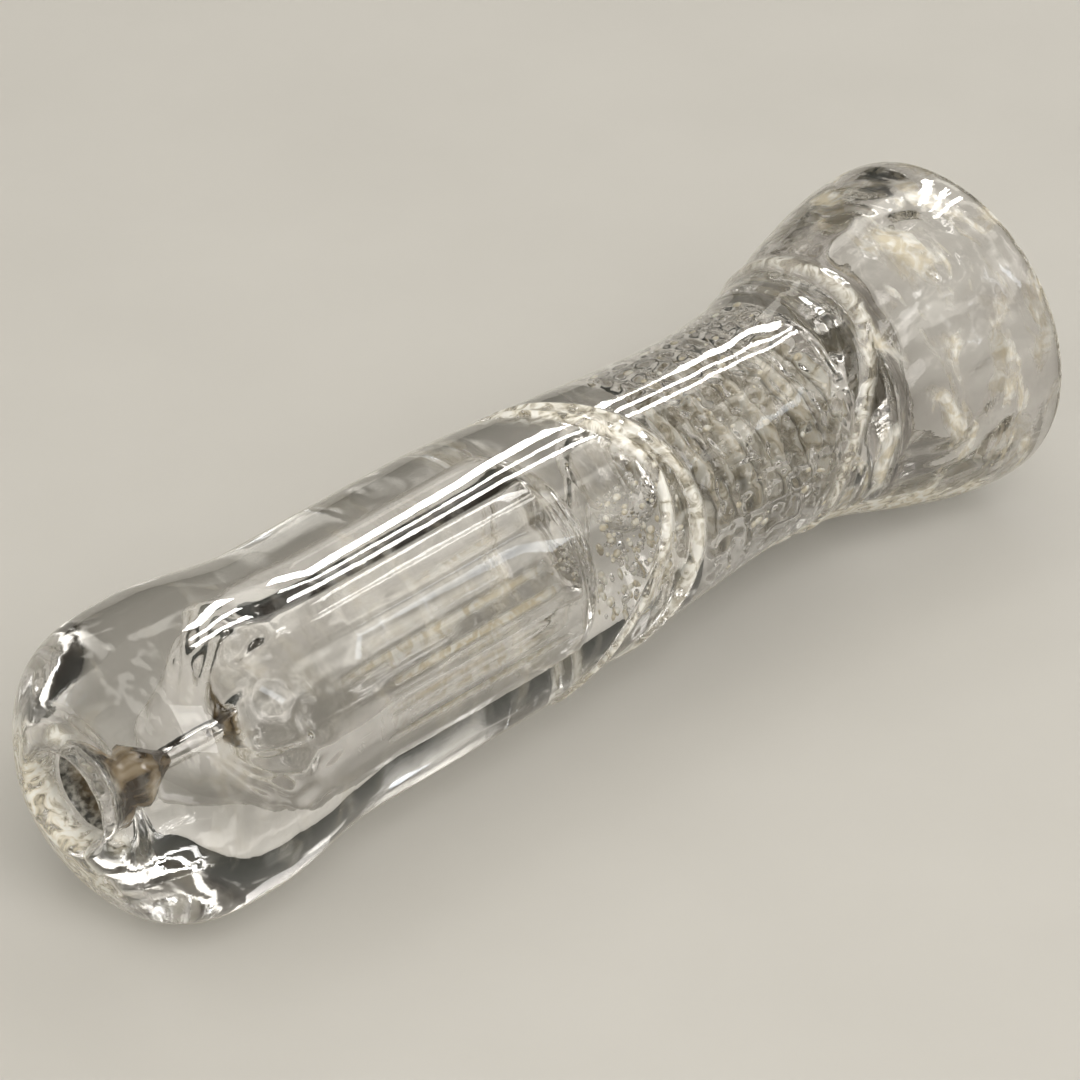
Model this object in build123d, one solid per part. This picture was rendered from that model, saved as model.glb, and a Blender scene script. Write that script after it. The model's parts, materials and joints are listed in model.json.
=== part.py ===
from build123d import *
import os
from math import asin, cos, degrees, radians, sin

# A lampworked glass slide tube: a holed, rounded nose, a heavy-wall barrel, a narrow
# waist cased over wound canes, and a flared bell. All pieces are fused together.
# Millimetres. A station is a distance along the tube's axis from the tip of the nose,
# and a radius is measured from that axis.

# Stations, from the nose to the bell
FUNNEL_KNEE = 2.1
FUNNEL_MIDDLE = 6.0
THROAT_START = 8.4
THROAT_END = 9.4
NOSE_FATTEST = 9.0
CHAMBER_START = 13.4
BARREL_START = 18.0
BARREL_TAPER = 31.0
CHAMBER_END = 36.2
CHAMBER_TIP = 39.0
SEAM_MIDDLE = 40.8
PLUG_END = 47.0
WAIST_NARROWEST = 54.5
COLLAR_START = 62.0
COLLAR_END = 64.4
BELL_SWELL = 71.0
RIM_START = 74.2
TOTAL_LENGTH = 76.0

# Outside radii
LIP_RADIUS = 3.7
NOSE_RADIUS = 10.1
BARREL_RADIUS = 9.0
SEAM_RADIUS = 8.45
WAIST_RADIUS = 7.6
COLLAR_LEFT_RADIUS = 8.35
COLLAR_RIGHT_RADIUS = 9.1
COLLAR_CROWN = 0.12
SWELL_RADIUS = 10.95
BELL_RADIUS = 11.35
RIM_FACE_OUTER = 10.75

# Inside radii
FUNNEL_RADIUS = 2.8
FUNNEL_MIDDLE_RADIUS = 1.9
THROAT_RADIUS = 0.5
CHAMBER_RADIUS = 4.2
BORE_RADIUS = 4.9
PASSAGE_RADIUS = 0.9
BELL_FLOOR_RADIUS = 5.4
BELL_INNER_RADIUS = 9.6
RIM_FACE_INNER = 10.05

# The seam between barrel and waist is a slanting ring. It reaches furthest towards the
# bell at SEAM_TURN degrees from the top of the tube, turning towards the near side.
SEAM_WIDTH = 2.6
SEAM_REACH = 3.3
SEAM_TURN = 48

# The round air pocket in the plug sits off the axis, at POCKET_TURN degrees from the top.
POCKET_STATION = 43.5
POCKET_RADIUS = 2.5
POCKET_OFFSET = 1.0
POCKET_TURN = -44

# Canes wound round the core inside the waist
CANE_COUNT = 4
CANE_RADIUS = 0.73
CANE_FIT = 0.02
CANE_TURNS = 2.2
CORE_RADIUS = BORE_RADIUS - 2 * (CANE_RADIUS + CANE_FIT)

# Directions in the profile plane: along the axis, and away from it
ALONG = (1, 0)
OUTWARD = (0, 1)
INWARD = (0, -1)


def turned(*edges):
    """The solid swept by a closed outline of edges once round the axis."""
    return revolve(make_face(edges), Axis.X)


def step(*points):
    """A straight edge through points, each a station and a radius."""
    return Polyline(*points)


def nose_bulb():
    """The gathered, rounded end, with a funnel down to the throat and the chamber's start."""
    tip, fattest = (0, LIP_RADIUS), (NOSE_FATTEST, NOSE_RADIUS)
    shoulder = Spline(tip, fattest, tangents=[(0.4, 1), ALONG], tangent_scalars=[1.8, 1.3])
    hip = Spline(fattest, (BARREL_START, BARREL_RADIUS), tangents=[ALONG, ALONG])
    chamber = (CHAMBER_START, CHAMBER_RADIUS)
    back = step((BARREL_START, BARREL_RADIUS), (BARREL_START, CHAMBER_RADIUS), chamber)
    dome = Spline(chamber, (THROAT_END, THROAT_RADIUS), tangents=[(-1, 0), INWARD])
    throat = step((THROAT_END, THROAT_RADIUS), (THROAT_START, THROAT_RADIUS))
    funnel = Spline(
        (THROAT_START, THROAT_RADIUS),
        (FUNNEL_MIDDLE, FUNNEL_MIDDLE_RADIUS),
        (FUNNEL_KNEE, FUNNEL_RADIUS),
        tip,
        tangents=[(-1, 0), OUTWARD],
    )
    return turned(shoulder, hip, back, dome, throat, funnel)


def away(turn):
    """The direction away from the axis at an angle of turn degrees from the top."""
    return Vector(0, -sin(radians(turn)), cos(radians(turn)))


def outer_wall():
    """The wall of barrel, seam and waist in one, before the seam's faces part it."""
    section_start, section_end = (BARREL_START, BARREL_RADIUS), (COLLAR_START, COLLAR_LEFT_RADIUS)
    straight = step(section_start, (BARREL_TAPER, BARREL_RADIUS))
    hollow_back = Spline(
        (BARREL_TAPER, BARREL_RADIUS),
        (SEAM_MIDDLE, SEAM_RADIUS),
        (WAIST_NARROWEST, WAIST_RADIUS),
        section_end,
        tangents=[ALONG, (1, 0.27)],
    )
    inside = step(
        section_end,
        (COLLAR_START, BORE_RADIUS),
        (PLUG_END, BORE_RADIUS),
        (PLUG_END, CHAMBER_RADIUS),
        (BARREL_START, CHAMBER_RADIUS),
        section_start,
    )
    return turned(straight, hollow_back, inside)


def seam_face(station):
    """The slanting face that crosses the axis at a station, looking towards the bell."""
    tilt = away(SEAM_TURN) * (SEAM_REACH / SEAM_RADIUS)
    return Plane(origin=(station, 0, 0), z_dir=Vector(1, 0, 0) - tilt)


def inner_bulb():
    """The plug that closes the chamber, with an air passage through a round pocket."""
    chamber_floor = Spline(
        (CHAMBER_END, CHAMBER_RADIUS), (CHAMBER_TIP, PASSAGE_RADIUS), tangents=[ALONG, INWARD]
    )
    outside = step(
        (CHAMBER_TIP, PASSAGE_RADIUS),
        (PLUG_END, PASSAGE_RADIUS),
        (PLUG_END, CHAMBER_RADIUS),
        (CHAMBER_END, CHAMBER_RADIUS),
    )
    pocket_centre = Vector(POCKET_STATION, 0, 0) + away(POCKET_TURN) * POCKET_OFFSET
    return turned(chamber_floor, outside) - Pos(pocket_centre) * Sphere(POCKET_RADIUS)


def core_tube():
    """The thin-bored core through the waist, from the plug to the collar."""
    section = step(
        (PLUG_END, PASSAGE_RADIUS),
        (COLLAR_START, PASSAGE_RADIUS),
        (COLLAR_START, CORE_RADIUS),
        (PLUG_END, CORE_RADIUS),
        (PLUG_END, PASSAGE_RADIUS),
    )
    return turned(section)


def twist_cane(turn):
    """One cane wound round the core, started at an angle of turn degrees."""
    length = COLLAR_START - PLUG_END
    overrun = 2 * CANE_RADIUS
    pitch_radius = CORE_RADIUS + CANE_FIT + CANE_RADIUS
    path = Helix(pitch=length / CANE_TURNS, height=length + 2 * overrun, radius=pitch_radius)
    profile = Plane(path @ 0, z_dir=path % 0) * Circle(CANE_RADIUS)
    wound = Pos(0, 0, -overrun) * sweep(profile, path, is_frenet=True)
    # The ends are trimmed flush with the plug and the collar that the cane is fused to.
    flush = wound & Pos(0, 0, length / 2) * Cylinder(BORE_RADIUS, length)
    return Pos(PLUG_END, 0, 0) * Rot(0, 90, 0) * Rot(0, 0, turn) * flush


def neck_collar():
    """The disc that closes the waist, with a rounded edge that shows as a ring."""
    start, end = (COLLAR_START, COLLAR_LEFT_RADIUS), (COLLAR_END, COLLAR_RIGHT_RADIUS)
    middle = (
        (COLLAR_START + COLLAR_END) / 2,
        (COLLAR_LEFT_RADIUS + COLLAR_RIGHT_RADIUS) / 2 + COLLAR_CROWN,
    )
    crown = ThreePointArc(start, middle, end)
    inside = step(end, (COLLAR_END, PASSAGE_RADIUS), (COLLAR_START, PASSAGE_RADIUS), start)
    return turned(crown, inside)


def bell():
    """The flared cup."""
    start, end = (COLLAR_END, COLLAR_RIGHT_RADIUS), (RIM_START, BELL_RADIUS)
    flare = Spline(start, (BELL_SWELL, SWELL_RADIUS), end, tangents=[(1, 0.28), ALONG])
    edge = step(end, (RIM_START, BELL_INNER_RADIUS))
    cup = Spline(
        (RIM_START, BELL_INNER_RADIUS),
        (COLLAR_END, BELL_FLOOR_RADIUS),
        tangents=[(-1, -0.1), INWARD],
    )
    foot = step((COLLAR_END, BELL_FLOOR_RADIUS), start)
    return turned(flare, edge, cup, foot)


def rim_bead():
    """The fire-polished lip, ground flat in a narrow ring so that the tube can stand on it."""
    outer_round = Spline(
        (RIM_START, BELL_RADIUS), (TOTAL_LENGTH, RIM_FACE_OUTER), tangents=[ALONG, INWARD]
    )
    face = step((TOTAL_LENGTH, RIM_FACE_OUTER), (TOTAL_LENGTH, RIM_FACE_INNER))
    inner_round = Spline(
        (TOTAL_LENGTH, RIM_FACE_INNER), (RIM_START, BELL_INNER_RADIUS), tangents=[INWARD, (-1, -0.1)]
    )
    joint = step((RIM_START, BELL_INNER_RADIUS), (RIM_START, BELL_RADIUS))
    return turned(outer_round, face, inner_round, joint)


seam_left = seam_face(SEAM_MIDDLE - SEAM_WIDTH / 2)
seam_right = seam_face(SEAM_MIDDLE + SEAM_WIDTH / 2)
past_barrel = split(outer_wall(), seam_left, keep=Keep.TOP)

nodes = {
    "nose_bulb": nose_bulb(),
    "barrel_tube": split(outer_wall(), seam_left, keep=Keep.BOTTOM),
    "seam_ring": split(past_barrel, seam_right, keep=Keep.BOTTOM),
    "inner_bulb": inner_bulb(),
    "core_tube": core_tube(),
    "waist_sleeve": split(past_barrel, seam_right, keep=Keep.TOP),
    "neck_collar": neck_collar(),
    "bell": bell(),
    "rim_bead": rim_bead(),
}
for number in range(CANE_COUNT):
    nodes[f"twist_cane_{number + 1}"] = twist_cane(360 * number / CANE_COUNT)

# The tube lies on its nose and its bell, so its axis climbs a little towards the bell.
climb = degrees(asin((BELL_RADIUS - NOSE_RADIUS) / (RIM_START - NOSE_FATTEST)))
leaning = {name: Rot(0, -climb, 0) * piece for name, piece in nodes.items()}
box = Compound(list(leaning.values())).bounding_box()
to_floor = Pos(-box.center().X, 0, -box.min.Z)

os.makedirs("parts", exist_ok=True)
for name, piece in leaning.items():
    export_step(to_floor * piece, f"parts/{name}.step")
print(f"climb {climb:.4f} degrees, nose tip at {to_floor.position.X:.3f}, {to_floor.position.Z:.3f}")
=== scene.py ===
import json
import math
import random

import bpy
import numpy as np
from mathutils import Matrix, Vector


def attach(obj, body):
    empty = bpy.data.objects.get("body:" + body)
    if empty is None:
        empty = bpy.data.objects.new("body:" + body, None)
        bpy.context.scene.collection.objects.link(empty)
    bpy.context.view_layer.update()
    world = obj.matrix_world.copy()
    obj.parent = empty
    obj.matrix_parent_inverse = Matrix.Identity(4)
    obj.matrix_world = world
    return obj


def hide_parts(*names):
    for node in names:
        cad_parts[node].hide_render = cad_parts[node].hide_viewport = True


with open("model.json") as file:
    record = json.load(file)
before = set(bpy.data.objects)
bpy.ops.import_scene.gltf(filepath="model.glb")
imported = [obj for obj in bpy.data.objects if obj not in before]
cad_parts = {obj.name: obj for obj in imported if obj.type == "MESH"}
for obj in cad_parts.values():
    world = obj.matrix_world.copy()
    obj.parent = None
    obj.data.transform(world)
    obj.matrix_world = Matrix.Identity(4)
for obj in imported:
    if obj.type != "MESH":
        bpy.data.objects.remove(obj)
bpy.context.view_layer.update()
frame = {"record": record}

# The tube is described by a station along its axis from the tip of the nose, a radius from
# that axis, and a turn round it. A turn of 0 is the top of the tube and 90 degrees is its
# near side, towards -Y. Lengths are in metres.
MM = 0.001
THROAT_MOUNT_STATION = 8.9 * MM
mounts = {mount["name"]: mount for mount in frame["record"]["mounts"]}
AXIS = np.array(mounts["rim_face"]["axis"])
AXIS = AXIS / np.linalg.norm(AXIS)
UP = np.array([-AXIS[2], 0.0, AXIS[0]])
NEAR = np.cross(AXIS, UP)
TIP = np.array(mounts["nose_hole"]["pos_m"]) - AXIS * THROAT_MOUNT_STATION

# Stations
FUNNEL_KNEE = 2.1 * MM
FUNNEL_MIDDLE = 6.0 * MM
THROAT_START = 8.4 * MM
THROAT_END = 9.4 * MM
NOSE_FATTEST = 9.0 * MM
CHAMBER_START = 13.4 * MM
BARREL_START = 18.0 * MM
BARREL_TAPER = 31.0 * MM
CHAMBER_END = 36.2 * MM
CHAMBER_TIP = 39.0 * MM
SEAM_START = 40.0 * MM
SEAM_MIDDLE = 41.3 * MM
SEAM_END = 42.6 * MM
PLUG_END = 47.0 * MM
WAIST_NARROWEST = 54.5 * MM
COLLAR_START = 62.0 * MM
COLLAR_END = 64.4 * MM
BELL_SWELL = 71.0 * MM
RIM_START = 74.2 * MM
TOTAL_LENGTH = 76.0 * MM

# Outside radii
LIP_RADIUS = 3.7 * MM
NOSE_RADIUS = 10.1 * MM
BARREL_RADIUS = 9.0 * MM
SEAM_RADIUS = 8.45 * MM
WAIST_RADIUS = 7.6 * MM
COLLAR_LEFT_RADIUS = 8.35 * MM
COLLAR_RIGHT_RADIUS = 9.1 * MM
SWELL_RADIUS = 10.95 * MM
BELL_RADIUS = 11.35 * MM
RIM_FACE_OUTER = 10.75 * MM

# Inside radii
FUNNEL_RADIUS = 2.8 * MM
FUNNEL_MIDDLE_RADIUS = 1.9 * MM
THROAT_RADIUS = 0.5 * MM
CHAMBER_RADIUS = 4.2 * MM
BORE_RADIUS = 4.9 * MM
PASSAGE_RADIUS = 0.9 * MM
BELL_FLOOR_RADIUS = 5.4 * MM
BELL_INNER_RADIUS = 9.6 * MM
RIM_FACE_INNER = 10.05 * MM

# The round pocket in the plug
POCKET_STATION = 43.5 * MM
POCKET_RADIUS = 2.4 * MM
POCKET_LENGTH = 3.2 * MM
POCKET_OFFSET = 1.0 * MM
POCKET_TURN = math.radians(-44)

# The hole in the nose wanders off the axis at its mouth.
MOUTH_OFFSET = 0.75 * MM
MOUTH_TURN = math.radians(-72)

CANE_COUNT = 4
CANE_RADIUS = 0.73 * MM
CANE_TURNS = 2.2
CANE_FULLNESS = 0.93
CANE_GAP = 0.02 * MM
CORE_RADIUS = BORE_RADIUS - 2 * (CANE_RADIUS + CANE_GAP)

# Streaks along the chamber's wall, each a shallow groove left by drawing with a painted white highlight
# line over it: turn in degrees, first and last station, strength
GROOVES_AND_PAINTED_LINES = (
    (28, 22 * MM, 35 * MM, 0.45),
    (49, 17 * MM, 34 * MM, 0.30),
    (61, 15 * MM, 35 * MM, 0.55),
    (67, 17 * MM, 28 * MM, 0.40),
    (79, 19 * MM, 35.5 * MM, 0.90),
    (87, 24 * MM, 32 * MM, 0.60),
    (98, 19 * MM, 34 * MM, 0.50),
    (107, 21 * MM, 35 * MM, 0.60),
    (121, 19 * MM, 36 * MM, 0.70),
)

# Turns, in degrees, where hand-made features are strongest, and where the painted highlights on the lip
# and the neck's foot are centred
LIP_HIGHLIGHT_TURN = 227
MOUTH_GROOVE_TURN = 47
SEAM_GAPE_TURN = 125
SEAM_RIDGE_TURN = 56
SEAM_UPPER_TURN = -15
COLLAR_TRAIL_TURN = 150
FOOT_HIGHLIGHT_TURN = 134

# Some seed bubbles are milky, which is a share of them and a strength.
MILKY_SHARE = 0.55
MILKY_STRENGTH = 6.0

GLASS_IOR = 1.474
SEGMENTS = 180
GLASS, FUSED, THROAT = 0, 1, 2
CORNER_ANGLE = math.radians(25)


# ---------------------------------------------------------------- shape of the hand-made glass


def bump(x, centre, width):
    """1 at centre, falling smoothly to 0 at width on either side."""
    t = np.clip(1 - np.abs(x - centre) / width, 0, 1)
    return t * t * (3 - 2 * t)


def step_up(x, low, high):
    """0 below low and 1 above high, with a smooth rise between."""
    t = np.clip((x - low) / (high - low), 0, 1)
    return t * t * (3 - 2 * t)


def span(x, start, full, fade, end):
    """0 outside start..end and 1 from full to fade, with smooth ends."""
    return step_up(x, start, full) * (1 - step_up(x, fade, end))


def crumple(station, turn, seed, shortest, longest):
    """Smooth irregular waves between -1 and 1 over a turned surface, of given wavelengths."""
    draw = random.Random(seed)
    total = 0.0
    for _ in range(9):
        wavelength = draw.uniform(shortest, longest)
        slant = draw.uniform(0, math.pi)
        around = round(2 * math.pi * 7.5 * MM / wavelength * math.cos(slant))
        along = 2 * math.pi / wavelength * math.sin(slant)
        total = total + np.sin(around * turn + along * station + draw.uniform(0, 2 * math.pi))
    return total / 5


def seam_edges(turn):
    """Stations of the seam's two ridges at each turn: it slants, and gapes on the near side."""
    middle = (
        40.12
        + 2.52 * np.cos(turn)
        + 1.34 * np.sin(turn)
        - 0.73 * np.cos(2 * turn)
        + 1.48 * np.sin(2 * turn)
    )
    half = 0.7 + 2.6 * np.maximum(0, np.cos(turn - math.radians(SEAM_GAPE_TURN))) ** 2
    return (middle - half) * MM, (middle + half) * MM


def seam_slant(station, turn):
    """Slides the outer wall along the axis so that the seam follows its slanting ridges."""
    left, right = seam_edges(turn)
    before = (left - SEAM_START) * step_up(station, 28 * MM, SEAM_START)
    after = (right - SEAM_END) * (1 - step_up(station, SEAM_END, 53 * MM))
    share = np.clip((station - SEAM_START) / (SEAM_END - SEAM_START), 0, 1)
    return before * (1 - share) + after * share


def collar_slant(station, turn):
    """Slides the collar's edge along the axis: it trails towards the nose underneath."""
    trail = 0.5 + 5.8 * step_up(np.cos(turn - math.radians(COLLAR_TRAIL_TURN)), -0.75, 0.85)
    swell = span(station, 45 * MM, COLLAR_START, COLLAR_END, 73.5 * MM)
    return -trail * swell * MM


def around_bump(turn, middle, width):
    """1 at the turn middle, falling smoothly to 0 at width degrees on either side."""
    away = np.abs((np.degrees(turn) - middle + 180) % 360 - 180)
    return bump(away, 0, width)


def outer_radius(station):
    """The plain turned shape's outside radius, from the barrel to the rim."""
    return np.interp(station, SKIN[:, 0], SKIN[:, 1])


def skin_share(station, radius):
    """1 on the outside surface, falling to 0 a fifth of the way in."""
    return step_up(radius / outer_radius(station), 0.80, 0.97)


def milk_and_highlight(station, radius, turn):
    """How milky the glass is at the beads, and how strong the painted highlights are on the lip's end, on
    the neck's foot, round the rim's outer edge and in a band down the nose.
    """
    skin = skin_share(station, radius)
    beads = bump(station, SEAM_START, 0.9 * MM) + bump(station, SEAM_END, 0.9 * MM)
    upper = step_up(np.cos(turn - math.radians(SEAM_UPPER_TURN)), 0.35, 0.9)
    beads = 0.8 * beads + (0.25 + 0.75 * upper) * bump(station, SEAM_MIDDLE, 2 * MM)
    beads = beads + 0.6 * upper * bump(station, SEAM_START - 0.8 * MM, 1.8 * MM)
    beads = beads + 0.75 * bump(station, COLLAR_END, 0.9 * MM)
    end = 1 - step_up(station, 0.2 * MM, 2.4 * MM)
    # Painted highlights: a cream crescent on the far side of the lip's end, and two cream patches round
    # the mouth's edge.
    lip = end * step_up(np.cos(turn - math.radians(LIP_HIGHLIGHT_TURN)), 0.0, 0.6) * 1.8
    lip = lip + end * bump(radius, 4.4 * MM, 0.8 * MM) * (
        around_bump(turn, -11, 22) + around_bump(turn, 105, 22)
    )
    # Painted highlight: a cream strip along the underside of the neck and bell.
    foot = 2.0 * around_bump(turn, FOOT_HIGHLIGHT_TURN, 14) * step_up(station, 56 * MM, 60 * MM)
    foot = foot * (1 - step_up(station, 71 * MM, 73 * MM))
    # Painted highlight: a thin white line round the rim's outer edge.
    rim = 0.9 * step_up(station, 75.0 * MM, 75.4 * MM) * bump(radius, 11.05 * MM, 0.28 * MM)
    # A painted highlight band runs from the far side of the lip down to the nose's underside.
    climb = np.clip(1 - station / NOSE_FATTEST, 0, 1) ** 2.2
    away = np.degrees(turn) - (132 + 90 * climb)
    band = 1.6 * bump(away, 0, 13) * step_up(radius, 4.3 * MM, 5.2 * MM)
    band = band * (1 - step_up(station, 9.5 * MM, 12 * MM))
    return skin * (beads + foot) + lip + rim + band


def painted_line_strength(station, radius, turn):
    """How strong the painted white highlight lines are along the chamber's wall, one over each streak's
    shallow groove.
    """
    streaks = 0.0
    for middle, left, right, strength in GROOVES_AND_PAINTED_LINES:
        reach = span(station, left, left + 5 * MM, right - 4 * MM, right)
        streaks = streaks + strength * reach * around_bump(turn, middle, 5)
    return 1.8 * streaks * bump(radius, CHAMBER_RADIUS, 0.3 * MM)


def shaped(station, radius, turn):
    """Moves a point of the plain turned shape to where the hand-made glass has it."""
    outside = step_up(radius, BORE_RADIUS, 7.4 * MM)
    at_skin = skin_share(station, radius)
    moved = station + seam_slant(station, turn) * outside + collar_slant(station, turn) * at_skin
    follow = outer_radius(moved) / outer_radius(station) - 1
    groove = bump(radius, 5.0 * MM, 1.3 * MM) * (1 - step_up(station, 2 * MM, 4 * MM))
    moved = moved + 0.32 * MM * groove * step_up(np.cos(turn - math.radians(MOUTH_GROOVE_TURN)), -0.3, 0.6)

    ridge = bump(station, SEAM_START, 0.75 * MM) + bump(station, SEAM_END, 0.75 * MM)
    ridge *= 0.34 + 0.08 * np.sin(3 * turn + 1.1) + 0.05 * np.sin(11 * turn + 0.4)
    ridge *= 0.60 + 0.40 * np.cos(turn - math.radians(SEAM_RIDGE_TURN))
    worn = bump(station, SEAM_MIDDLE, 3.2 * MM) * (
        0.07 * crumple(moved, turn, 5, 1.4 * MM, 5 * MM) - 0.10
    )
    ring = 0.08 * bump(station, COLLAR_START, 0.8 * MM) + 0.20 * bump(station, COLLAR_END, 0.8 * MM)
    lumps = (
        0.020 * np.sin(2 * turn + 0.7 + 90 * station)
        + 0.012 * np.sin(3 * turn + 2.1 - 140 * station)
        + 0.006 * np.sin(9 * turn + 0.3 + 60 * station)
        - 0.038
    )
    worked = span(station, 46 * MM, 62 * MM, 66 * MM, 74 * MM)
    lumps = lumps + 0.04 * worked * (crumple(station, turn, 8, 2.5 * MM, 6 * MM) - 0.8)

    # Marks left inside the barrel by drawing, and threads pressed into the waist's casing.
    draw = (
        0.030 * np.sin(5 * turn + 0.8)
        + 0.022 * np.sin(9 * turn + 2.4 + 20 * station)
        + 0.016 * np.sin(14 * turn + 0.2)
        + 0.010 * np.sin(23 * turn + 1.7 - 15 * station)
    )
    at_bore = bump(radius, BORE_RADIUS, 0.6 * MM)
    at_chamber = bump(radius, CHAMBER_RADIUS, 0.6 * MM)
    in_barrel = span(station, 10 * MM, 18 * MM, 33 * MM, CHAMBER_END)
    in_waist = span(station, PLUG_END, PLUG_END + 1 * MM, COLLAR_START - 1 * MM, COLLAR_START)
    wound = CANE_COUNT * (
        turn - 2 * math.pi * CANE_TURNS * (station - PLUG_END) / (COLLAR_START - PLUG_END)
    )
    pressed = 0.10 + 0.08 * np.cos(wound + 2 * crumple(station, turn, 3, 4 * MM, 9 * MM))
    pressed = pressed + 0.17 * (1 + crumple(station, turn, 44, 1.3 * MM, 3.6 * MM))
    for middle, left, right, strength in GROOVES_AND_PAINTED_LINES:
        reach = span(station, left, left + 2 * MM, right - 2 * MM, right)
        draw = draw - 0.08 * strength * reach * around_bump(turn, middle, 5)

    # The nose's mouth and the ends of the chamber are uneven.
    in_nose = (1 - step_up(station, 10 * MM, 14 * MM)) * (1 - step_up(radius, 6 * MM, 9 * MM))
    uneven = 0.05 * crumple(station, turn, 12, 2 * MM, 6 * MM) * in_nose
    uneven = uneven * step_up(radius, 0, 2.5 * MM)
    in_cup = span(station, 65 * MM, 67 * MM, 71 * MM, RIM_START)
    cup = 0.30 * crumple(station, turn, 21, 1.2 * MM, 4.5 * MM) * in_cup * (1 - at_skin)
    in_dome = span(station, THROAT_END, 10 * MM, 12 * MM, 16 * MM)
    in_dome = in_dome * (1 - step_up(radius, 5 * MM, 6 * MM)) * step_up(radius, 1 * MM, 3 * MM)
    uneven = uneven + 0.26 * crumple(station, turn, 33, 1.2 * MM, 4 * MM) * in_dome
    grown = radius + MM * (
        (ridge + worn + ring + lumps + radius / MM * follow) * outside
        + at_chamber * draw * in_barrel
        + at_bore * pressed * in_waist
        + uneven
        + cup
    )
    return moved, grown


def place(station, radius, turn):
    """Row-frame points for stations, radii and turns."""
    mouth = (1 - step_up(station, 2.2 * MM, 7.2 * MM)) * (1 - step_up(radius, 3.7 * MM, 8.5 * MM))
    pocket = span(station, 39.2 * MM, 41.0 * MM, 45.9 * MM, 46.9 * MM)
    pocket = pocket * (1 - step_up(radius, POCKET_RADIUS, CORE_RADIUS))
    station, radius = shaped(station, radius, turn)
    up = (
        radius * np.cos(turn)
        + mouth * MOUTH_OFFSET * math.cos(MOUTH_TURN)
        + pocket * POCKET_OFFSET * math.cos(POCKET_TURN)
    )
    near = (
        radius * np.sin(turn)
        + mouth * MOUTH_OFFSET * math.sin(MOUTH_TURN)
        + pocket * POCKET_OFFSET * math.sin(POCKET_TURN)
    )
    return TIP + station[..., None] * AXIS + up[..., None] * UP + near[..., None] * NEAR


# ---------------------------------------------------------------- outlines


def curve(start, end, leave, arrive, weights=(1.0, 1.0), count=24):
    """A smooth run between two (station, radius) points with given end directions."""
    start, end = np.array(start), np.array(end)
    chord = np.linalg.norm(end - start)
    leave = np.array(leave) / np.linalg.norm(leave) * chord * weights[0]
    arrive = np.array(arrive) / np.linalg.norm(arrive) * chord * weights[1]
    u = (0.5 - 0.5 * np.cos(np.linspace(0, math.pi, count)))[:, None]
    return (
        (2 * u**3 - 3 * u**2 + 1) * start
        + (u**3 - 2 * u**2 + u) * leave
        + (3 * u**2 - 2 * u**3) * end
        + (u**3 - u**2) * arrive
    )


def straight(start, end, count=6):
    """Evenly spaced points between two (station, radius) points."""
    u = np.linspace(0, 1, count)[:, None]
    return np.array(start) * (1 - u) + np.array(end) * u


def oval(centre_station, length, radius, neck, count=40):
    """Half an oval's outline, centred on the axis and open to a neck of a given radius."""
    first = math.asin(neck / radius)
    angle = np.linspace(math.pi - first, first, count)
    return np.stack([centre_station + length * np.cos(angle), radius * np.sin(angle)], 1)


def sphere_patch(centre, radii, rows=8, columns=12):
    """Points and faces of a small closed ellipsoid whose faces look inwards."""
    points, faces = [], []
    for i in range(rows + 1):
        polar = math.pi * i / rows
        for j in range(columns):
            around = 2 * math.pi * j / columns
            local = (
                radii[0] * math.cos(polar),
                radii[1] * math.sin(polar) * math.cos(around),
                radii[1] * math.sin(polar) * math.sin(around),
            )
            points.append(centre + local[0] * AXIS + local[1] * UP + local[2] * NEAR)
            if i in (0, rows):
                break

    def ring(i, j):
        return 1 + (i - 1) * columns + j % columns

    last = len(points) - 1
    for j in range(columns):
        faces.append((0, ring(1, j + 1), ring(1, j)))
        faces.append((last, ring(rows - 1, j), ring(rows - 1, j + 1)))
        for i in range(1, rows - 1):
            faces.append((ring(i, j), ring(i, j + 1), ring(i + 1, j + 1), ring(i + 1, j)))
    return np.array(points), faces


def mesh_volume(points, faces):
    """Signed volume inside a closed mesh."""
    total = 0.0
    for face in faces:
        a = points[face[0]]
        for k in range(1, len(face) - 1):
            total += a @ np.cross(points[face[k]], points[face[k + 1]])
    return total / 6


def make_piece(name, node, points, faces, slots, materials, layers, sharp=None):
    """A piece of glass that stands for a CAD node. Each layer holds a number for every point."""
    mesh = bpy.data.meshes.new(name)
    mesh.from_pydata(points.tolist(), [], faces)
    mesh.update()
    mesh.polygons.foreach_set("use_smooth", [True] * len(faces))
    mesh.polygons.foreach_set("material_index", slots)
    if sharp is not None:
        ends = np.empty(len(mesh.edges) * 2, dtype=np.int64)
        mesh.edges.foreach_get("vertices", ends)
        mesh.edges.foreach_set("use_edge_sharp", sharp(ends.reshape(-1, 2)))
    for layer, values in layers.items():
        mesh.attributes.new(layer, "FLOAT", "POINT").data.foreach_set("value", values)
    for material in materials:
        mesh.materials.append(material)
    piece = bpy.data.objects.new(name, mesh)
    bpy.context.scene.collection.objects.link(piece)
    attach(piece, "root")
    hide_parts(node)
    return piece


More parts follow.
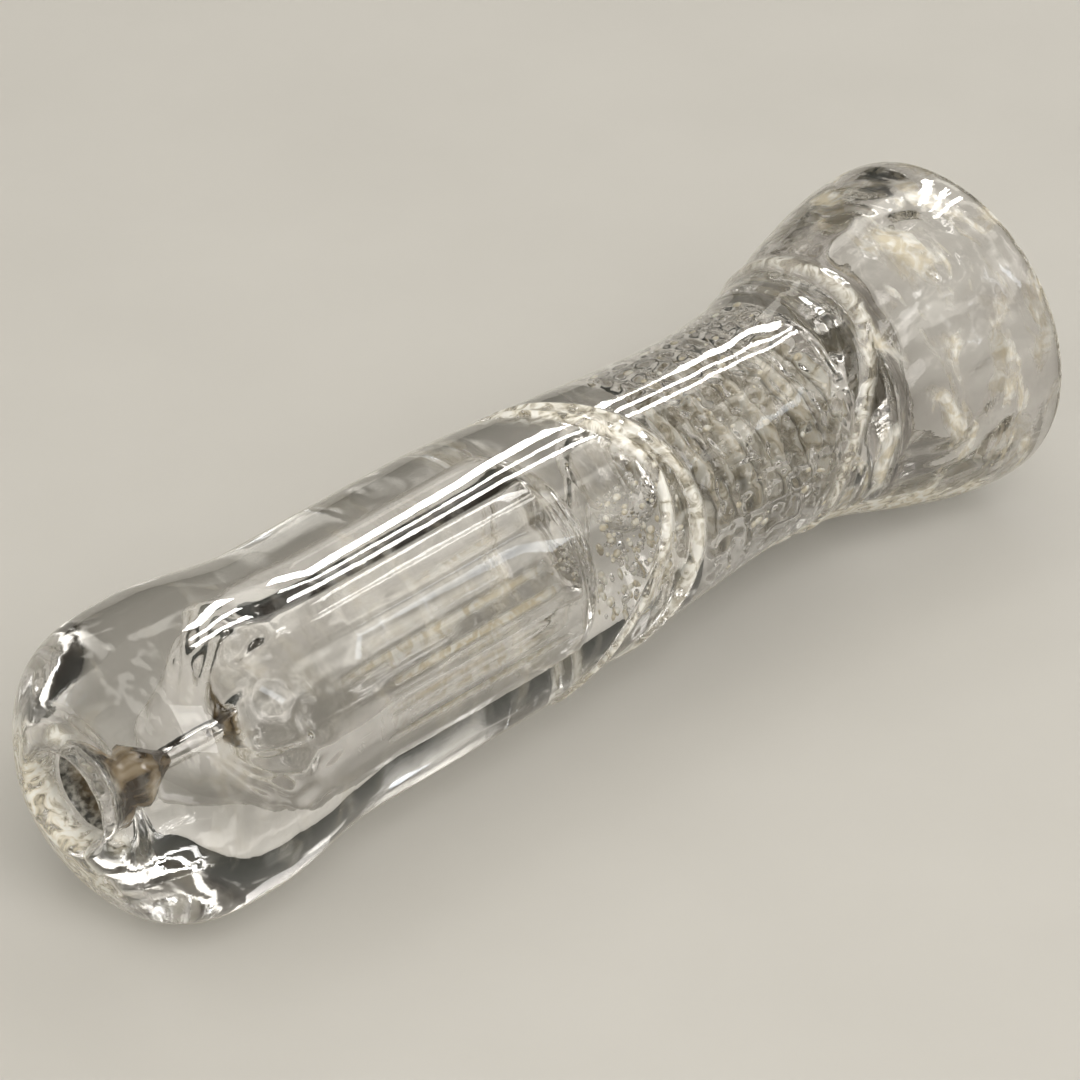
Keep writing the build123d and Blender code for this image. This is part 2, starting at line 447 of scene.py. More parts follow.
def lathe(name, node, sections, material, bubbles=()):
    """Turns a closed outline of (kind, points) sections into one closed piece."""
    rows, kinds = [], []
    for kind, points in sections:
        rows.extend(points[:-1])
        kinds.extend([kind] * (len(points) - 1))
    rows = np.array(rows)
    before, after = rows - np.roll(rows, 1, 0), np.roll(rows, -1, 0) - rows
    bend = np.abs(np.arctan2(np.cross(before, after), (before * after).sum(1)))
    kinds = np.array(kinds)
    fused_here = kinds == FUSED
    corner = (bend > CORNER_ANGLE) | (fused_here != np.roll(fused_here, 1))
    turns = np.linspace(0, 2 * math.pi, SEGMENTS, endpoint=False)
    grid = (
        np.repeat(rows[:, :1], SEGMENTS, 1),
        np.repeat(rows[:, 1:], SEGMENTS, 1),
        np.repeat(turns[None], len(rows), 0),
    )
    points = place(*grid).reshape(-1, 3)
    milky, lines = milk_and_highlight(*grid).ravel(), painted_line_strength(*grid).ravel()
    i, j = np.meshgrid(np.arange(len(rows)), np.arange(SEGMENTS), indexing="ij")
    down, across = (i + 1) % len(rows), (j + 1) % SEGMENTS
    corners = [i * SEGMENTS + j, i * SEGMENTS + across, down * SEGMENTS + across, down * SEGMENTS + j]
    faces = np.stack([c.ravel() for c in corners], 1)
    if mesh_volume(points, faces[:: SEGMENTS // 20]) < 0:
        faces = faces[:, ::-1]
    faces = [tuple(int(v) for v in face) for face in faces]
    slots = [int(kinds[k]) for k in i.ravel()]
    turned_count = len(points)
    for centre, radii, speck in bubbles:
        more, inward = sphere_patch(centre, radii)
        faces += [tuple(v + len(points) for v in face) for face in inward]
        slots += [GLASS] * len(inward)
        points = np.concatenate([points, more])
        milky = np.concatenate([milky, np.full(len(more), speck)])
        lines = np.concatenate([lines, np.zeros(len(more))])

    def sharp(ends):
        """Which edges run round the tube along a corner of the outline."""
        row = ends // SEGMENTS
        inside = (ends < turned_count).all(1)
        return inside & (row[:, 0] == row[:, 1]) & corner[np.minimum(row[:, 0], len(rows) - 1)]

    materials = [material, fused, throat_glass]
    layers = {"milk_and_highlight": milky, "painted_lines": lines}
    return make_piece(name, node, points, faces, slots, materials, layers, sharp)


# ---------------------------------------------------------------- materials


def new_material(name):
    """An empty node material with its output."""
    material = bpy.data.materials.new(name)
    material.use_nodes = True
    nodes = material.node_tree.nodes
    nodes.clear()
    return material, nodes, material.node_tree.links, nodes.new("ShaderNodeOutputMaterial")


def stretched_noise(nodes, links, stretch, scale, detail, twist=0.0):
    """Noise in object space, stretched along the tube by 1 / stretch."""
    where = nodes.new("ShaderNodeTexCoord")
    along = nodes.new("ShaderNodeMapping")
    along.inputs["Scale"].default_value = (stretch, 1.0, 1.0)
    links.new(where.outputs["Object"], along.inputs["Vector"])
    noise = nodes.new("ShaderNodeTexNoise")
    noise.inputs["Scale"].default_value = scale
    noise.inputs["Detail"].default_value = detail
    noise.inputs["Distortion"].default_value = twist
    links.new(along.outputs["Vector"], noise.inputs["Vector"])
    return noise.outputs["Fac"]


def ranged(nodes, links, value, low, high, first, last):
    """A value mapped from low..high to first..last, kept inside."""
    node = nodes.new("ShaderNodeMapRange")
    for name, number in zip(("From Min", "From Max", "To Min", "To Max"), (low, high, first, last)):
        node.inputs[name].default_value = number
    links.new(value, node.inputs["Value"])
    return node.outputs["Result"]


def combined(nodes, links, operation, first, second):
    """Two values joined by an arithmetic operation."""
    node = nodes.new("ShaderNodeMath")
    node.operation = operation
    node.use_clamp = True
    links.new(first, node.inputs[0])
    links.new(second, node.inputs[1])
    return node.outputs["Value"]


def ramp(nodes, links, value, low, high, first, last):
    """A colour that runs from first to last as a value goes from low to high."""
    node = nodes.new("ShaderNodeValToRGB")
    for element, position, colour in zip(node.color_ramp.elements, (low, high), (first, last)):
        element.position, element.color = position, (*colour, 1)
    links.new(value, node.inputs["Fac"])
    return node.outputs["Color"]


def glass_material(name, pale, deep, ripple, ripple_scale, wisps):
    """Clear glass with colour drift, ripples, milky beads, painted highlights on the lip, the neck's foot,
    the rim and the nose's band, painted highlight lines in the chamber, a painted white sheen where the
    surface turns edge-on, and faint wisps.
    """
    material, nodes, links, output = new_material(name)
    drift = stretched_noise(nodes, links, 0.12, 260, 3)
    smear = stretched_noise(nodes, links, 1.0, 420, 6)
    grain = stretched_noise(nodes, links, 0.12, ripple_scale, 4)
    relief = nodes.new("ShaderNodeBump")
    relief.inputs["Strength"].default_value = ripple
    relief.inputs["Distance"].default_value = 0.05 * MM
    links.new(grain, relief.inputs["Height"])

    glass = nodes.new("ShaderNodeBsdfPrincipled")
    glass.inputs["Transmission Weight"].default_value = 1.0
    glass.inputs["IOR"].default_value = GLASS_IOR
    links.new(ramp(nodes, links, drift, 0.35, 0.65, deep, pale), glass.inputs["Base Color"])
    links.new(ranged(nodes, links, smear, 0.52, 0.78, 0, 0.05), glass.inputs["Roughness"])
    links.new(relief.outputs["Normal"], glass.inputs["Normal"])

    milk = nodes.new("ShaderNodeBsdfPrincipled")
    milk.inputs["Roughness"].default_value = 0.25
    milk.inputs["IOR"].default_value = GLASS_IOR
    cloud = stretched_noise(nodes, links, 1.0, 700, 7, 1.8)
    links.new(
        ramp(nodes, links, cloud, 0.44, 0.60, (0.72, 0.65, 0.50), (1.0, 0.99, 0.93)),
        milk.inputs["Base Color"],
    )
    links.new(relief.outputs["Normal"], milk.inputs["Normal"])
    # This attribute carries the milkiness of beads, canes and bubbles, and the painted highlights on the
    # lip, the neck's foot, the rim and the nose's band.
    bead = nodes.new("ShaderNodeAttribute")
    bead.attribute_name = "milk_and_highlight"
    patchy = ranged(nodes, links, cloud, 0.38, 0.58, 0.10, 1.0)
    milky = combined(nodes, links, "MULTIPLY", bead.outputs["Fac"], patchy)
    wisp = stretched_noise(nodes, links, 2.2, 210, 7, 0.6)
    milky = combined(nodes, links, "ADD", milky, ranged(nodes, links, wisp, 0.54, 0.68, 0, wisps))
    # The painted white highlight lines along the chamber, broken up by noise.
    painted_lines = nodes.new("ShaderNodeAttribute")
    painted_lines.attribute_name = "painted_lines"
    line_breakup = ranged(nodes, links, stretched_noise(nodes, links, 0.05, 1500, 3), 0.35, 0.6, 0.4, 1.0)
    lines = combined(nodes, links, "MULTIPLY", painted_lines.outputs["Fac"], line_breakup)
    milky = combined(nodes, links, "ADD", milky, lines)
    # Painted sheen: the milky white is mixed in more where the surface turns edge-on, a painted highlight
    # along the outlines.
    edge = nodes.new("ShaderNodeLayerWeight")
    edge.inputs["Blend"].default_value = 0.5
    sheen = ranged(nodes, links, edge.outputs["Facing"], 0.84, 1.0, 0, 0.8)
    milky = combined(nodes, links, "ADD", milky, sheen)
    surface = nodes.new("ShaderNodeMixShader")
    links.new(milky, surface.inputs["Fac"])
    links.new(glass.outputs["BSDF"], surface.inputs[1])
    links.new(milk.outputs["BSDF"], surface.inputs[2])

    # The floor under the glass gets a soft grey shade without noisy focused light.
    clear = nodes.new("ShaderNodeBsdfTransparent")
    clear.inputs["Color"].default_value = (0.66, 0.655, 0.64, 1)
    path = nodes.new("ShaderNodeLightPath")
    straight_through = combined(
        nodes, links, "MAXIMUM", path.outputs["Is Shadow Ray"], path.outputs["Is Diffuse Ray"]
    )
    mix = nodes.new("ShaderNodeMixShader")
    links.new(straight_through, mix.inputs["Fac"])
    links.new(surface.outputs["Shader"], mix.inputs[1])
    links.new(clear.outputs["BSDF"], mix.inputs[2])
    links.new(mix.outputs["Shader"], output.inputs["Surface"])
    return material


def funnel_colour_material(name):
    """The colouring inside the nose's funnel: grey and speckled at the mouth, brown deeper in."""
    material, nodes, links, output = new_material(name)
    streak = stretched_noise(nodes, links, 0.2, 1100, 5)
    speckle = stretched_noise(nodes, links, 1.0, 2600, 4)
    brown = ramp(nodes, links, streak, 0.38, 0.62, (0.035, 0.02, 0.008), (0.42, 0.31, 0.17))
    grey = ramp(nodes, links, speckle, 0.42, 0.66, (0.06, 0.06, 0.055), (0.42, 0.41, 0.37))
    where = nodes.new("ShaderNodeTexCoord")
    split = nodes.new("ShaderNodeSeparateXYZ")
    links.new(where.outputs["Object"], split.inputs["Vector"])
    depth = ranged(
        nodes, links, split.outputs["X"], TIP[0] + 2.5 * MM, TIP[0] + 4.0 * MM, 0, 1
    )
    mix = nodes.new("ShaderNodeMix")
    mix.data_type = "RGBA"
    links.new(depth, mix.inputs["Factor"])
    links.new(grey, mix.inputs["A"])
    links.new(brown, mix.inputs["B"])
    funnel_surface = nodes.new("ShaderNodeBsdfPrincipled")
    funnel_surface.inputs["Roughness"].default_value = 0.15
    funnel_surface.inputs["IOR"].default_value = GLASS_IOR
    links.new(mix.outputs["Result"], funnel_surface.inputs["Base Color"])
    links.new(ranged(nodes, links, streak, 0.50, 0.72, 0.0, 0.8), funnel_surface.inputs["Transmission Weight"])
    links.new(funnel_surface.outputs["BSDF"], output.inputs["Surface"])
    return material


def fused_material():
    """The face where two pieces are melted together, which light crosses unbent."""
    material, nodes, links, output = new_material("fused_joint")
    clear = nodes.new("ShaderNodeBsdfTransparent")
    clear.inputs["Color"].default_value = (1, 1, 1, 1)
    links.new(clear.outputs["BSDF"], output.inputs["Surface"])
    return material


def floor_material():
    """A pale, matt table top with a very faint mottle."""
    material, nodes, links, output = new_material("pale_floor")
    where = nodes.new("ShaderNodeTexCoord")
    mottle = nodes.new("ShaderNodeTexNoise")
    mottle.inputs["Scale"].default_value = 60
    mottle.inputs["Detail"].default_value = 5
    links.new(where.outputs["Object"], mottle.inputs["Vector"])
    tone = nodes.new("ShaderNodeValToRGB")
    tone.color_ramp.elements[0].color = (0.58, 0.565, 0.53, 1)
    tone.color_ramp.elements[1].color = (0.64, 0.625, 0.59, 1)
    links.new(mottle.outputs["Fac"], tone.inputs["Fac"])
    surface = nodes.new("ShaderNodeBsdfPrincipled")
    surface.inputs["Roughness"].default_value = 0.7
    links.new(tone.outputs["Color"], surface.inputs["Base Color"])
    links.new(surface.outputs["BSDF"], output.inputs["Surface"])
    return material


clear_glass = glass_material("clear_glass", (0.98, 0.975, 0.97), (0.90, 0.89, 0.89), 0.14, 900, 0.18)
bell_glaze = glass_material("bell_glass", (0.88, 0.87, 0.86), (0.62, 0.60, 0.59), 0.6, 600, 0.9)
cane_glass = glass_material("cane_glass", (1.0, 0.995, 0.98), (0.93, 0.86, 0.76), 0.5, 520, 0.5)
throat_glass = funnel_colour_material("throat_colour")
fused = fused_material()


# ---------------------------------------------------------------- pieces of glass


def bubble_cloud(seed, count, stations, radii, turns, sizes):
    """Seed bubbles scattered inside one piece's wall: centre, two radii and milkiness of each."""
    draw = random.Random(seed)
    cloud = []
    for _ in range(count):
        station = draw.uniform(*stations)
        radius = draw.uniform(*radii)
        turn = math.radians(draw.uniform(*turns))
        size = draw.uniform(*sizes)
        centre = place(np.array([station]), np.array([radius]), np.array([turn]))[0]
        speck = MILKY_STRENGTH if draw.random() < MILKY_SHARE else 0.0
        cloud.append((centre, (size * draw.uniform(1.0, 2.0), size), speck))
    return cloud


def smooth_through(points, leave, arrive):
    """A smooth run through several (station, radius) points with given end directions."""
    points = [np.array(point) for point in points]
    ways = [np.array(leave, float)]
    for before, after in zip(points, points[2:]):
        ways.append(after - before)
    ways.append(np.array(arrive, float))
    runs = [
        curve(start, end, way, next_way)[:-1]
        for start, end, way, next_way in zip(points, points[1:], ways, ways[1:])
    ]
    return np.concatenate([*runs, points[-1][None]])


WALL = smooth_through(
    [
        (BARREL_TAPER, BARREL_RADIUS),
        (SEAM_MIDDLE, SEAM_RADIUS),
        (WAIST_NARROWEST, WAIST_RADIUS),
        (COLLAR_START, COLLAR_LEFT_RADIUS),
    ],
    (1, 0),
    (1, 0.27),
)


COLLAR_SKIN = ((COLLAR_START, COLLAR_LEFT_RADIUS), (COLLAR_END, COLLAR_RIGHT_RADIUS))
SKIN = np.concatenate(
    [
        straight((0, BARREL_RADIUS), (BARREL_TAPER, BARREL_RADIUS)),
        WALL[1:],
        curve(*COLLAR_SKIN, (1, 0.27), (1, 0.33))[1:],
        curve(COLLAR_SKIN[1], (BELL_SWELL, SWELL_RADIUS), (1, 0.33), (1, 0.2))[1:],
        curve((BELL_SWELL, SWELL_RADIUS), (RIM_START, BELL_RADIUS), (1, 0.2), (1, 0))[1:],
        straight((RIM_START, BELL_RADIUS), (TOTAL_LENGTH, BELL_RADIUS))[1:],
    ]
)


def wall(start, end, spacing):
    """The outer wall's outline between two stations of the barrel, seam or waist."""
    stations = np.linspace(start, end, max(3, int(round((end - start) / spacing)) + 1))
    radii = np.interp(stations, WALL[:, 0], WALL[:, 1])
    return np.stack([stations, radii], 1)


def joined(*runs):
    """Runs of an outline end to end."""
    return np.concatenate([*(run[:-1] for run in runs[:-1]), runs[-1]])


def nose_glass():
    """The rounded end: outside, dome of the chamber, throat and the brown-coloured funnel."""
    tip, fattest = (0, LIP_RADIUS), (NOSE_FATTEST, NOSE_RADIUS)
    joint = (BARREL_START, BARREL_RADIUS)
    bore = (BARREL_START, CHAMBER_RADIUS)
    chamber, throat = (CHAMBER_START, CHAMBER_RADIUS), (THROAT_END, THROAT_RADIUS)
    funnel, knee = (THROAT_START, THROAT_RADIUS), (FUNNEL_KNEE, FUNNEL_RADIUS)
    middle = (FUNNEL_MIDDLE, FUNNEL_MIDDLE_RADIUS)
    sections = [
        (GLASS, curve(tip, fattest, (0.4, 1), (1, 0), (1.8, 1.3), 44)),
        (GLASS, curve(fattest, joint, (1, 0), (1, 0), count=28)),
        (FUSED, straight(joint, bore)),
        (GLASS, straight(bore, chamber, 12)),
        (GLASS, curve(chamber, throat, (-1, 0), (0, -1), (1.4, 1.4), 40)),
        (GLASS, straight(throat, funnel, 12)),
        (THROAT, smooth_through([funnel, middle, knee], (-1, 0.6), (-1, 0.5))),
        (GLASS, curve(knee, tip, (-1, 0.5), (0, 1), (1.0, 1.2), 24)),
    ]
    return lathe("nose_bulb_glass", "nose_bulb", sections, clear_glass)


def barrel_glass():
    """The heavy-wall tube round the air chamber."""
    start, taper = (BARREL_START, BARREL_RADIUS), (BARREL_TAPER, BARREL_RADIUS)
    bore = (SEAM_START, CHAMBER_RADIUS)
    outer = joined(
        straight(start, taper, 26),
        wall(BARREL_TAPER, SEAM_START - 1 * MM, 0.4 * MM),
        wall(SEAM_START - 1 * MM, SEAM_START, 0.1 * MM),
    )
    sections = [
        (GLASS, outer),
        (FUSED, straight(outer[-1], bore)),
        (FUSED, straight(bore, (CHAMBER_END, CHAMBER_RADIUS), 8)),
        (GLASS, straight((CHAMBER_END, CHAMBER_RADIUS), (BARREL_START, CHAMBER_RADIUS), 40)),
        (FUSED, straight((BARREL_START, CHAMBER_RADIUS), start)),
    ]
    return lathe("barrel_glass", "barrel_tube", sections, clear_glass)


def seam_glass():
    """The weld bead between the barrel and the waist."""
    outer = wall(SEAM_START, SEAM_END, 0.08 * MM)
    sections = [
        (GLASS, outer),
        (FUSED, straight(outer[-1], (SEAM_END, CHAMBER_RADIUS))),
        (FUSED, straight((SEAM_END, CHAMBER_RADIUS), (SEAM_START, CHAMBER_RADIUS))),
        (FUSED, straight((SEAM_START, CHAMBER_RADIUS), outer[0])),
    ]
    return lathe("seam_ring_glass", "seam_ring", sections, clear_glass)


def bulb_glass():
    """The plug that closes the chamber, with its pocket and seed bubbles."""
    pocket = oval(POCKET_STATION, POCKET_LENGTH, POCKET_RADIUS, PASSAGE_RADIUS)
    floor_edge, floor_tip = (CHAMBER_END, CHAMBER_RADIUS), (CHAMBER_TIP, PASSAGE_RADIUS)
    step_edge = (PLUG_END, CHAMBER_RADIUS)
    sections = [
        (GLASS, curve(floor_edge, floor_tip, (1, 0), (0, -1), count=40)),
        (GLASS, straight(floor_tip, pocket[0], 10)),
        (GLASS, pocket),
        (GLASS, straight(pocket[-1], (PLUG_END, PASSAGE_RADIUS), 10)),
        (FUSED, straight((PLUG_END, PASSAGE_RADIUS), (PLUG_END, CORE_RADIUS))),
        (GLASS, straight((PLUG_END, CORE_RADIUS), step_edge)),
        (FUSED, straight(step_edge, floor_edge, 20)),
    ]
    bubbles = bubble_cloud(
        4, 210, (39.2 * MM, 45.8 * MM), (2.9 * MM, 3.9 * MM), (40, 210), (0.05 * MM, 0.2 * MM)
    )
    return lathe("inner_bulb_glass", "inner_bulb", sections, clear_glass, bubbles)


def core_glass():
    """The core through the waist, with its narrow passage."""
    sections = [
        (GLASS, straight((PLUG_END, PASSAGE_RADIUS), (COLLAR_START, PASSAGE_RADIUS), 40)),
        (FUSED, straight((COLLAR_START, PASSAGE_RADIUS), (COLLAR_START, CORE_RADIUS))),
        (GLASS, straight((COLLAR_START, CORE_RADIUS), (PLUG_END, CORE_RADIUS), 40)),
        (FUSED, straight((PLUG_END, CORE_RADIUS), (PLUG_END, PASSAGE_RADIUS))),
    ]
    return lathe("core_tube_glass", "core_tube", sections, clear_glass)


def cane(number):
    """One wound cane, a closed helical rod with rounded ends."""
    draw = random.Random(60 + number)
    first = 2 * math.pi * number / CANE_COUNT
    gap = 0.05 * MM
    start, end = PLUG_END + gap, COLLAR_START - gap
    fullest = CANE_FULLNESS * CANE_RADIUS
    pitch_radius = CORE_RADIUS + CANE_GAP + fullest
    count, around = 260, 20
    share = np.linspace(0, 1, count)
    # The sway stays small enough that neighbouring canes never meet.
    sway = 0.030 * np.sin(share * 17 + draw.uniform(0, 6))
    sway += 0.012 * np.sin(share * 41 + draw.uniform(0, 6))
    turn = first + 2 * math.pi * CANE_TURNS * share + sway
    station = start + CANE_RADIUS + (end - start - 2 * CANE_RADIUS) * share
    centre = place(station, np.full(count, pitch_radius), turn)
    tangent = np.gradient(centre, axis=0)
    tangent /= np.linalg.norm(tangent, axis=1)[:, None]
    outward = np.cos(turn)[:, None] * UP + np.sin(turn)[:, None] * NEAR
    outward -= (outward * tangent).sum(1)[:, None] * tangent
    outward /= np.linalg.norm(outward, axis=1)[:, None]
    side = np.cross(tangent, outward)
    # The ends are rounded: extra rings shrink towards a point.
    rings = []
    for k in np.linspace(0, math.pi / 2, 6)[:-1]:
        rings.append((0, -math.cos(k), math.sin(k)))
    rings += [(i, 0.0, 1.0) for i in range(count)]
    for k in np.linspace(math.pi / 2, 0, 6)[1:]:
        rings.append((count - 1, math.cos(k), math.sin(k)))
    points, faces = [], []
    for index, push, size in rings:
        wave = 1 - 0.06 * (1 + math.sin(share[index] * 55 + number))
        for k in range(around):
            angle = 2 * math.pi * k / around
            swing = math.cos(angle) * outward[index] + math.sin(angle) * side[index]
            points.append(
                centre[index] + fullest * wave * (push * 0.9 * tangent[index] + max(size, 0.02) * swing)
            )
    for i in range(len(rings) - 1):
        for k in range(around):
            n = (k + 1) % around
            faces.append((i * around + k, (i + 1) * around + k, (i + 1) * around + n, i * around + n))
    faces.append(tuple(range(around)))
    faces.append(tuple(reversed(range((len(rings) - 1) * around, len(rings) * around))))
    points = np.array(points)
    if mesh_volume(points - points.mean(0), faces) < 0:
        faces = [tuple(reversed(face)) for face in faces]
    return make_piece(
        f"twist_cane_glass_{number + 1}",
        f"twist_cane_{number + 1}",
        points,
        faces,
        [GLASS] * len(faces),
        [cane_glass],
        {"milk_and_highlight": np.full(len(points), 1.8 if number % 2 == 0 else 0.7)},
    )


def sleeve_glass():
    """The clear casing over the canes, with seed bubbles."""
    bore_end = (COLLAR_START, BORE_RADIUS)
    outer = joined(
        wall(SEAM_END, SEAM_END + 1 * MM, 0.1 * MM),
        wall(SEAM_END + 1 * MM, COLLAR_START - 1.2 * MM, 0.35 * MM),
        wall(COLLAR_START - 1.2 * MM, COLLAR_START, 0.15 * MM),
    )
    sections = [
        (GLASS, outer),
        (FUSED, straight(outer[-1], bore_end)),
        (GLASS, straight(bore_end, (PLUG_END, BORE_RADIUS), 110)),
        (GLASS, straight((PLUG_END, BORE_RADIUS), (PLUG_END, CHAMBER_RADIUS), 4)),
        (FUSED, straight((PLUG_END, CHAMBER_RADIUS), (SEAM_END, CHAMBER_RADIUS), 8)),
        (FUSED, straight((SEAM_END, CHAMBER_RADIUS), outer[0])),
    ]
    bubbles = bubble_cloud(
        9, 190, (48 * MM, 61 * MM), (5.8 * MM, 6.6 * MM), (0, 360), (0.07 * MM, 0.24 * MM)
    )
    return lathe("waist_sleeve_glass", "waist_sleeve", sections, clear_glass, bubbles)


def collar_glass():
    """The disc that closes the waist at the bell."""
    left, right = (COLLAR_START, COLLAR_LEFT_RADIUS), (COLLAR_END, COLLAR_RIGHT_RADIUS)
    sections = [
        (GLASS, curve(left, right, (1, 0.27), (1, 0.33), count=20)),
        (FUSED, straight(right, (COLLAR_END, BELL_FLOOR_RADIUS))),
        (GLASS, straight((COLLAR_END, BELL_FLOOR_RADIUS), (COLLAR_END, PASSAGE_RADIUS), 16)),
        (GLASS, straight((COLLAR_END, PASSAGE_RADIUS), (COLLAR_START, PASSAGE_RADIUS))),
        (FUSED, straight((COLLAR_START, PASSAGE_RADIUS), (COLLAR_START, CORE_RADIUS))),
        (GLASS, straight((COLLAR_START, CORE_RADIUS), (COLLAR_START, BORE_RADIUS))),
        (FUSED, straight((COLLAR_START, BORE_RADIUS), left)),
    ]
    return lathe("neck_collar_glass", "neck_collar", sections, clear_glass)


def bell_glass():
    """The flared cup."""
    left, swell = (COLLAR_END, COLLAR_RIGHT_RADIUS), (BELL_SWELL, SWELL_RADIUS)
    right, inner = (RIM_START, BELL_RADIUS), (RIM_START, BELL_INNER_RADIUS)
    floor_edge = (COLLAR_END, BELL_FLOOR_RADIUS)
    sections = [
        (GLASS, curve(left, swell, (1, 0.33), (1, 0.2), count=40)),
        (GLASS, curve(swell, right, (1, 0.2), (1, 0.0), count=20)),
        (FUSED, straight(right, inner)),
        (GLASS, curve(inner, floor_edge, (-1, -0.1), (0, -1), (1.2, 1.3), 60)),
        (FUSED, straight(floor_edge, left)),
    ]
    return lathe("bell_glass", "bell", sections, bell_glaze)


def rim_glass():
    """The fire-polished lip of the bell, with its narrow flat face."""
    outer, inner = (RIM_START, BELL_RADIUS), (RIM_START, BELL_INNER_RADIUS)
    face_out, face_in = (TOTAL_LENGTH, RIM_FACE_OUTER), (TOTAL_LENGTH, RIM_FACE_INNER)
    sections = [
        (GLASS, curve(outer, face_out, (1, 0), (0, -1), count=24)),
        (GLASS, straight(face_out, face_in, 4)),
        (GLASS, curve(face_in, inner, (0, -1), (-1, -0.1), count=24)),
        (FUSED, straight(inner, outer)),
    ]
    return lathe("rim_bead_glass", "rim_bead", sections, bell_glaze)


pieces = [
    nose_glass(),
    barrel_glass(),
    seam_glass(),
    bulb_glass(),
    core_glass(),
    sleeve_glass(),
    collar_glass(),
    bell_glass(),
    rim_glass(),
]
for number in range(CANE_COUNT):
    cane(number)


# ---------------------------------------------------------------- stage, light and camera

CAMERA_AZIMUTH = math.radians(-44.9)
CAMERA_ELEVATION = math.radians(33.3)
CAMERA_DISTANCE = 0.375
CAMERA_TARGET = Vector((0.0005, 0.0, 0.0113))


def make_floor():
    """A flat square table top."""
    half = 1.5
    mesh = bpy.data.meshes.new("floor")
    corners = [(-half, -half, 0), (half, -half, 0), (half, half, 0), (-half, half, 0)]
    mesh.from_pydata(corners, [], [(0, 1, 2, 3)])
    mesh.materials.append(floor_material())
    floor = bpy.data.objects.new("floor", mesh)
    bpy.context.scene.collection.objects.link(floor)


def aim(item, direction, distance, target=CAMERA_TARGET):
    """Puts a lamp or camera in a direction from the target, looking at it."""
    direction = Vector(direction).normalized()
    item.location = target + direction * distance
    item.rotation_mode = "QUATERNION"
    item.rotation_quaternion = (-direction).to_track_quat("-Z", "Y")


def softbox(name, direction, distance, size, glow, colour, on_floor=True):
    """A rectangular lamp whose face shines with a given brightness."""
    lamp = bpy.data.lights.new(name, "AREA")
    lamp.shape = "RECTANGLE"
    lamp.size, lamp.size_y = size
    lamp.energy = glow * math.pi * size[0] * size[1]
    lamp.color = colour
    item = bpy.data.objects.new(name, lamp)
    bpy.context.scene.collection.objects.link(item)
    item.visible_diffuse = on_floor
    aim(item, direction, distance)


def make_camera():
    """A long-lens camera above the near side, on the nose's side."""
    back = Vector(
        (
            math.sin(CAMERA_AZIMUTH) * math.cos(CAMERA_ELEVATION),
            -math.cos(CAMERA_AZIMUTH) * math.cos(CAMERA_ELEVATION),
            math.sin(CAMERA_ELEVATION),
        )
    )
    data = bpy.data.cameras.new("camera")
    data.lens = 200
    data.sensor_width = 36
    data.clip_start, data.clip_end = 0.01, 10
    data.shift_x = 0.0037
    data.shift_y = -0.0021
    camera = bpy.data.objects.new("camera", data)
    bpy.context.scene.collection.objects.link(camera)
    aim(camera, back, CAMERA_DISTANCE)
    bpy.context.scene.camera = camera


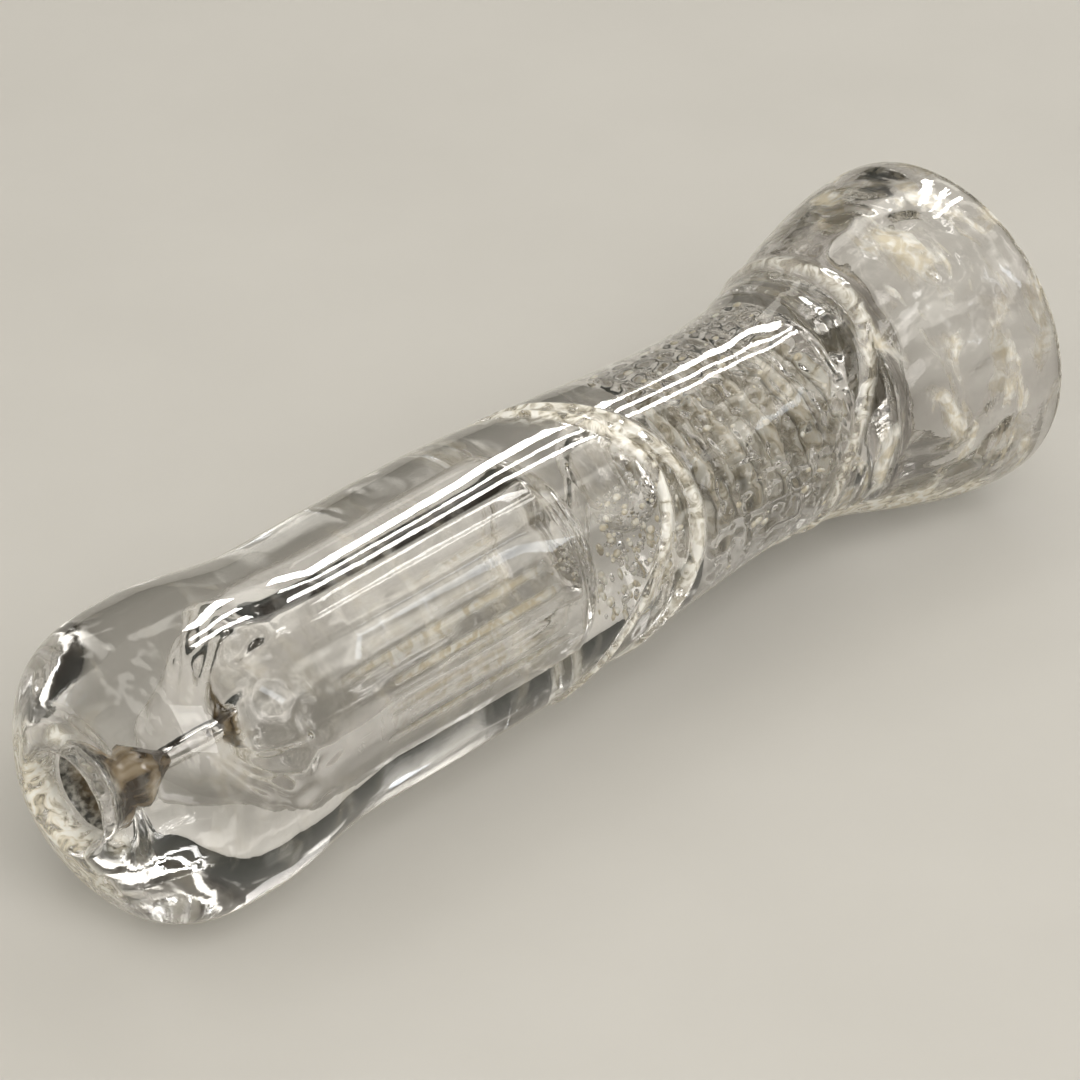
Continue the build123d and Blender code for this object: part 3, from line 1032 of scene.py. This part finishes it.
def make_world():
    """A room: a plain dim horizon, and soft brown, grey and bright patches overhead."""
    world = bpy.data.worlds.new("room")
    bpy.context.scene.world = world
    world.use_nodes = True
    nodes, links = world.node_tree.nodes, world.node_tree.links
    nodes.clear()
    where = nodes.new("ShaderNodeTexCoord")
    split = nodes.new("ShaderNodeSeparateXYZ")
    links.new(where.outputs["Generated"], split.inputs["Vector"])
    plain = nodes.new("ShaderNodeValToRGB")
    plain.color_ramp.elements[0].position = 0.0
    plain.color_ramp.elements[0].color = (0.03, 0.032, 0.026, 1)
    plain.color_ramp.elements[1].position = 0.6
    plain.color_ramp.elements[1].color = (0.12, 0.12, 0.11, 1)
    links.new(split.outputs["Z"], plain.inputs["Fac"])
    blotch = nodes.new("ShaderNodeTexNoise")
    blotch.inputs["Scale"].default_value = 4.5
    blotch.inputs["Detail"].default_value = 1
    links.new(where.outputs["Generated"], blotch.inputs["Vector"])
    patches = nodes.new("ShaderNodeValToRGB")
    bands = patches.color_ramp.elements
    bands[0].position, bands[0].color = 0.44, (0.020, 0.016, 0.012, 1)
    bands[1].position, bands[1].color = 0.63, (3.0, 2.9, 2.65, 1)
    bands.new(0.55).color = (0.10, 0.09, 0.075, 1)
    links.new(blotch.outputs["Fac"], patches.inputs["Fac"])
    height = nodes.new("ShaderNodeMapRange")
    height.inputs["From Min"].default_value = 0.22
    height.inputs["From Max"].default_value = 0.42
    links.new(split.outputs["Z"], height.inputs["Value"])
    mix = nodes.new("ShaderNodeMix")
    mix.data_type = "RGBA"
    links.new(height.outputs["Result"], mix.inputs["Factor"])
    links.new(plain.outputs["Color"], mix.inputs["A"])
    links.new(patches.outputs["Color"], mix.inputs["B"])
    glow = nodes.new("ShaderNodeBackground")
    output = nodes.new("ShaderNodeOutputWorld")
    links.new(mix.outputs["Result"], glow.inputs["Color"])
    links.new(glow.outputs["Background"], output.inputs["Surface"])


def around_tube(along, turn):
    """A direction with a given share along the axis, at a turn round it."""
    turn = math.radians(turn)
    side = math.cos(turn) * Vector(UP) + math.sin(turn) * Vector(NEAR)
    return along * Vector(AXIS) + math.sqrt(1 - along**2) * side


def make_lights():
    """A soft key lamp, and narrow lamps that draw the highlights along the tube."""
    softbox("key", around_tube(-0.25, 40), 0.8, (0.5, 0.5), 4.6, (1.0, 0.97, 0.93))
    near_white = (1.0, 0.99, 0.96)
    for turn, width in ((-33, 0.040), (-22, 0.018), (-14, 0.026)):
        towards = around_tube(0.588, turn)
        softbox(f"strip_{-turn}", towards, 0.6, (width, 0.24), 30, near_white, False)
    softbox("window", (0.588, -0.58, 0.56), 0.7, (0.04, 0.20), 5, (0.84, 0.91, 1.0), False)


make_floor()
make_camera()
make_world()
make_lights()

scene = bpy.context.scene
scene.view_settings.view_transform = "Standard"
scene.cycles.max_bounces = 40
scene.cycles.transmission_bounces = 40
scene.cycles.glossy_bounces = 24
scene.cycles.diffuse_bounces = 4
scene.cycles.transparent_max_bounces = 96
scene.cycles.sample_clamp_indirect = 8
